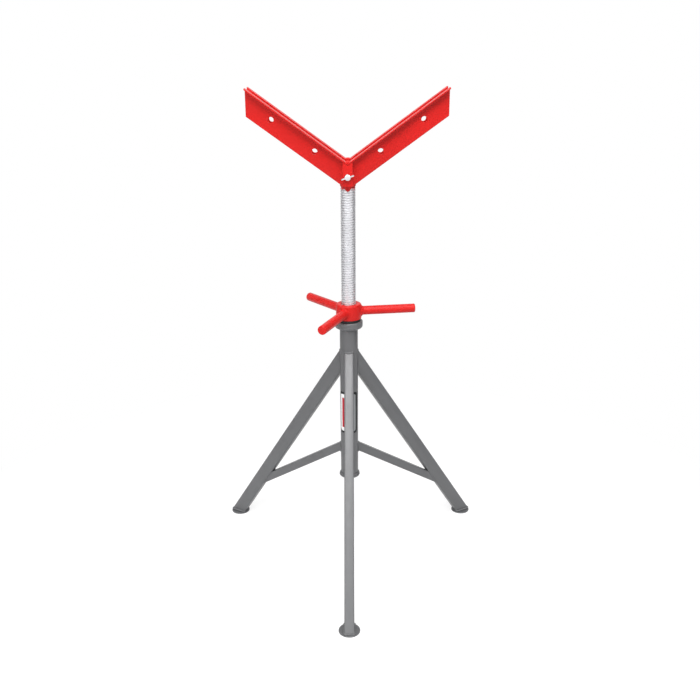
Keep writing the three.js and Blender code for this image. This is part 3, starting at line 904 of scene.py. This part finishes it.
class STAND_OT_jack_screw(bpy.types.Operator):
    """Cut the jack screw's thread, and turn its neck, its spigot and its stop ring"""

    bl_idname = "stand.jack_screw"
    bl_label = "Jack screw"

    neck, spigot, groove = 15 * MM, 15.5 * MM, 14.3 * MM  # radii below and above the thread
    groove_half, groove_slope = 5.5 * MM, 1.2 * MM  # half its height, and that of each sloping side
    overlap = 2 * MM  # how far the neck and the spigot run into the thread
    thread_chamfer, top_chamfer = 1.8 * MM, 2 * MM

    def execute(self, context):
        bottom, top = span_of("jack_screw")
        stop_low, stop_high = span_of("screw_stop_ring")
        wing = sum(span_of("wing_screw")) / 2
        low, shoulder = stop_high + GAP, span_of("head_sleeve")[0] - GAP
        bm = bmesh.new()
        self.cut_thread(bm, context.scene.stand_thread, radius_of("jack_screw"), low, shoulder)
        neck = ring_profile(0, self.neck, bottom, low + self.overlap)
        add_turned(bm, rounded(neck, CORNERS["screw_neck"]))
        start = shoulder - self.overlap
        low_side, high_side = wing - self.groove_half, wing + self.groove_half
        add_turned(bm, [
            (0, start), (self.spigot, start), (self.spigot, low_side),
            (self.groove, low_side + self.groove_slope), (self.groove, high_side - self.groove_slope),
            (self.spigot, high_side), (self.spigot, top - self.top_chamfer),
            (self.spigot - self.top_chamfer, top), (0, top)])
        add_piece("jack_screw_threaded", bm, "screw", "zinc_plate", stands_for=["jack_screw"])
        profile = ring_profile(self.neck, radius_of("screw_stop_ring"), stop_low, stop_high)
        turned_copy("screw_stop_ring", "screw", "zinc_plate", profile)
        return {"FINISHED"}

    def cut_thread(self, bm, thread, crest, low, high):
        """One pitch of the profile, swept up a helix, cut square and chamfered at both ends"""
        pitch, root = thread.pitch, crest - thread.depth
        slope = (1 - thread.crest - thread.root) / 2
        outline = [(crest, 0), (crest, thread.crest), (root, thread.crest + slope),
                   (root, thread.crest + slope + thread.root), (crest, 1)]
        verts = [bm.verts.new((radius, 0, low + (share - 1) * pitch)) for radius, share in outline]
        edges = [bm.edges.new(pair) for pair in zip(verts, verts[1:])]
        bmesh.ops.spin(
            bm, geom=verts + edges, cent=(0, 0, 0), axis=(0, 0, 1), dvec=(0, 0, pitch / thread.steps),
            angle=FULL_TURN, steps=thread.steps, use_merge=False, use_duplicate=False)
        turns = 1
        while turns < (high - low) / pitch + 2:
            copied = bmesh.ops.duplicate(bm, geom=everything(bm))["geom"]
            bmesh.ops.translate(bm, vec=(0, 0, turns * pitch), verts=only(bmesh.types.BMVert, copied))
            turns *= 2
        bmesh.ops.remove_doubles(bm, verts=bm.verts, dist=MERGE)
        for height, upwards in ((low, -1), (high, 1)):
            cut = bmesh.ops.bisect_plane(
                bm, geom=everything(bm), dist=MERGE,
                plane_co=(0, 0, height), plane_no=(0, 0, upwards), clear_outer=True)["geom_cut"]
            bmesh.ops.edgeloop_fill(bm, edges=only(bmesh.types.BMEdge, cut))
        for vert in bm.verts:
            room = min(vert.co.z - low, high - vert.co.z)
            limit = crest - self.thread_chamfer + room
            reach = vert.co.xy.length
            if room < self.thread_chamfer and reach > limit:
                vert.co.xy *= limit / reach
        bmesh.ops.transform(bm, matrix=TO_AXIS, verts=bm.verts)


class STAND_OT_head(bpy.types.Operator):
    """Dress the head's sleeve, its four drilled angles and its block, and weld them"""

    bl_idname = "stand.head"
    bl_label = "V head"

    web = 3.2 * MM  # thickness of the angles
    rear_end, block_end = 6 * MM, 10 * MM  # the beads stop this far below the valley and the block's top
    fills = ((3 * MM, 3 * MM, 0.4 * MM), (7.2 * MM, 2 * MM, 2.6 * MM))  # half width, half height, lift
    fill_inset = 0.6 * MM  # from the flanges' edges to the ends of the filled valley
    tip_radius, tip_half_depth = 3 * MM, 1.5 * MM
    tip_half_width, tip_rise = 7.5 * MM, 9 * MM
    tip_height = 1032.7 * MM  # height of the webs' lowest point

    def execute(self, context):
        for node in ("arm_front_right", "arm_front_left", "arm_rear_left", "arm_rear_right",
                     "head_block", "head_sleeve"):
            dressed_copy(node, "v_head", "red_paint")
        self.add_welds(context)
        self.add_mitre_weld()
        return {"FINISHED"}

    def add_welds(self, context):
        """Beads down the webs behind and beside the block"""
        bead = context.scene.stand_welds.fine_radius
        block_low, block_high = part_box("head_block")
        rear, front = self.web_face(1), self.web_face(-1)
        rear_span = span_of("arm_front_right")[0] + 2 * bead, VALLEY - self.rear_end
        block_span = block_low.z + bead, block_high.z - self.block_end
        bm = bmesh.new()
        for x, y, span in ((0, rear, rear_span), (block_low.x, front, block_span),
                           (block_high.x, front, block_span)):
            add_bead(bm, [Vector((x, y, z)) for z in span], bead, closed=False)
        add_piece("welds_head", bm, "v_head", "red_paint", sharp=SOFT)

    def add_mitre_weld(self):
        """The filled valley along both pairs of flanges, and the pointed bead under both pairs of webs"""
        bm = bmesh.new()
        for node in ("arm_front_right", "arm_rear_right"):
            low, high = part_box(node)
            ends = [Vector((0, y, 0)) for y in (low.y + self.fill_inset, high.y - self.fill_inset)]
            for half_width, half_height, lift in self.fills:
                scale = (half_width / MM, 1, half_height / MM)
                self.add_stretched_bead(bm, ends, (0, 0, VALLEY + lift), MM, scale)
        tip = [Vector((x, 0, z)) for x, z in (
            (-self.tip_half_width, self.tip_rise), (0, 0), (self.tip_half_width, self.tip_rise))]
        for side in (-1, 1):
            place = (0, self.web_face(side) - side * self.web / 2, self.tip_height)
            scale = (1, self.tip_half_depth / self.tip_radius, 1)
            self.add_stretched_bead(bm, tip, place, self.tip_radius, scale)
        add_piece("head_mitre_weld", bm, "v_head", "red_paint", sharp=SOFT)

    def add_stretched_bead(self, bm, points, place, radius, scale):
        """A bead made about the origin, stretched, and moved to its place"""
        bead = bmesh.new()
        add_bead(bead, points, radius, closed=False)
        bmesh.ops.scale(bead, vec=scale, verts=bead.verts)
        bmesh.ops.translate(bead, vec=place, verts=bead.verts)
        join_into(bm, bead)

    def web_face(self, side):
        """The outer face of the rear webs (1) or the front webs (-1)"""
        return AXIS.y + side * (radius_of("head_sleeve") + GAP + self.web)


class STAND_OT_wing_screw(bpy.types.Operator):
    """Dress the wing screw that locks the head"""

    bl_idname = "stand.wing_screw"
    bl_label = "Wing screw"

    def execute(self, context):
        dressed_copy("wing_screw", "thumb_screw", "zinc_plate")
        return {"FINISHED"}


class STAND_OT_stage(bpy.types.Operator):
    """Set the camera, the lamps, the floor, the grey cards and the white room"""

    bl_idname = "stand.stage"
    bl_label = "Stage"

    floor_side, floor_depth = 60, 0.2 * MM  # the floor lies a little under the feet
    card_roughness = 0.9

    def execute(self, context):
        stage = context.scene.stand_stage
        self.add_camera(context, stage)
        for name in LAMPS:
            self.add_lamp(stage, name)
        self.add_floor(stage)
        for name in CARDS:
            self.add_card(stage, name)
        self.add_room(context, stage)
        context.scene.view_settings.view_transform = "Standard"
        return {"FINISHED"}

    def add_camera(self, context, stage):
        """The photograph's camera, from a fit to the corners of the tripod, the bars and the head"""
        data = bpy.data.cameras.new("camera")
        data.lens = stage.lens
        data.sensor_width = stage.sensor
        camera = new_object("camera", data)
        camera.location = AXIS + Vector(stage.camera_place)
        sight = Vector((sin(stage.yaw) * cos(stage.pitch), cos(stage.yaw) * cos(stage.pitch),
                        -sin(stage.pitch)))
        camera.rotation_mode = "QUATERNION"
        camera.rotation_quaternion = sight.to_track_quat("-Z", "Y") @ Quaternion((0, 0, 1), stage.roll)
        context.scene.camera = camera

    def settings_of(self, stage, name):
        """A lamp's power or a card's level of grey, its place and its side"""
        level, place, side = (getattr(stage, f"{name}_{part}") for part in ("level", "place", "size"))
        return level, Vector(place), side

    def add_lamp(self, stage, name):
        """A large square lamp that faces the target"""
        power, place, side = self.settings_of(stage, name)
        data = bpy.data.lights.new(f"{name}_lamp", "AREA")
        data.size = side
        data.energy = power
        lamp = new_object(f"{name}_lamp", data)
        lamp.location = place
        lamp.rotation_euler = (Vector(stage.lamp_target) - place).to_track_quat("-Z", "Y").to_euler()

    def add_board(self, name, side, place, turn=0):
        """A flat square of the stage, level or turned about Y, with the material of its name"""
        bm = bmesh.new()
        bmesh.ops.create_grid(bm, x_segments=1, y_segments=1, size=side / 2)
        bmesh.ops.rotate(bm, verts=bm.verts, matrix=Matrix.Rotation(turn, 3, "Y"))
        bmesh.ops.translate(bm, vec=place, verts=bm.verts)
        mesh = new_mesh(name, bm)
        mesh.materials.append(bpy.data.materials[name])
        board = new_object(name, mesh)
        return board

    def add_floor(self, stage):
        """A wide floor: it lights the stand as grey card would, and is seen white with a faint shadow"""
        tree, plain = new_material("floor", roughness=1)
        tree.nodes.remove(plain)
        fade = remap(tree, distance_from_axis(tree), stage.floor_near, stage.floor_far, 0, 1)
        shade = remap(tree, fade, 0, 1, stage.floor_shade, 0)
        kept = add_node(tree, "BsdfDiffuse", {"Color": mix_colour(tree, shade, (0, 0, 0), (1, 1, 1))})
        glow = add_node(tree, "Emission", {"Strength": remap(tree, fade, 0, 1, stage.floor_glow, 1)})
        seen = add_node(tree, "AddShader", {0: kept.outputs["BSDF"], 1: glow.outputs["Emission"]})
        card = add_node(tree, "BsdfDiffuse", {"Color": (stage.floor_grey,) * 3})
        either = add_node(tree, "MixShader", {
            "Fac": seen_directly(tree), 1: card.outputs["BSDF"], 2: seen.outputs["Shader"]})
        feed(tree, tree.nodes["Material Output"], {"Surface": either.outputs["Shader"]})
        self.add_board("floor", self.floor_side, (0, 0, -self.floor_depth))

    def add_card(self, stage, name):
        """A grey card beside the stand, out of the camera's sight: round metal shows edges against it"""
        grey, place, side = self.settings_of(stage, name)
        tree, shader = new_material(name, self.card_roughness)
        feed(tree, shader, {"Base Color": (grey, grey, grey)})
        self.add_board(name, side, place, FULL_TURN / 4).visible_camera = False

    def add_room(self, context, stage):
        """A white room: full white to the camera and in reflections, softer on the object"""
        world = bpy.data.worlds.new("white_room")
        world.use_nodes = True
        tree = world.node_tree
        strength = remap(tree, seen_directly(tree), 0, 1, stage.ambient, 1)
        feed(tree, tree.nodes["Background"], {"Color": (1, 1, 1), "Strength": strength})
        context.scene.world = world


OPERATORS = (
    STAND_OT_tube, STAND_OT_legs, STAND_OT_base_welds, STAND_OT_label, STAND_OT_hand_nut,
    STAND_OT_jack_screw, STAND_OT_head, STAND_OT_wing_screw, STAND_OT_stage,
)


class STAND_PT_panel(bpy.types.Panel):
    """Lists the steps that build the stand, and their settings"""

    bl_idname = "STAND_PT_panel"
    bl_label = "Pipe jack stand"
    bl_space_type = "VIEW_3D"
    bl_region_type = "UI"
    bl_category = "Jack Stand"

    def draw(self, context):
        for operator in OPERATORS:
            self.layout.operator(operator.bl_idname)
        for name, group in SETTINGS.items():
            box = self.layout.box()
            box.label(text=group.__doc__)
            for prop in group.__annotations__:
                box.prop(getattr(context.scene, name), prop)


CLASSES = (*SETTINGS.values(), *OPERATORS, STAND_PT_panel)


def register():
    for group in CLASSES:
        bpy.utils.register_class(group)
    for name, group in SETTINGS.items():
        setattr(bpy.types.Scene, name, PointerProperty(type=group))


def unregister():
    for name in SETTINGS:
        delattr(bpy.types.Scene, name)
    for group in reversed(CLASSES):
        bpy.utils.unregister_class(group)


def main():
    register()
    for operator in OPERATORS:
        space, name = operator.bl_idname.split(".")
        getattr(getattr(bpy.ops, space), name)()


if __name__ == "__main__":
    main()
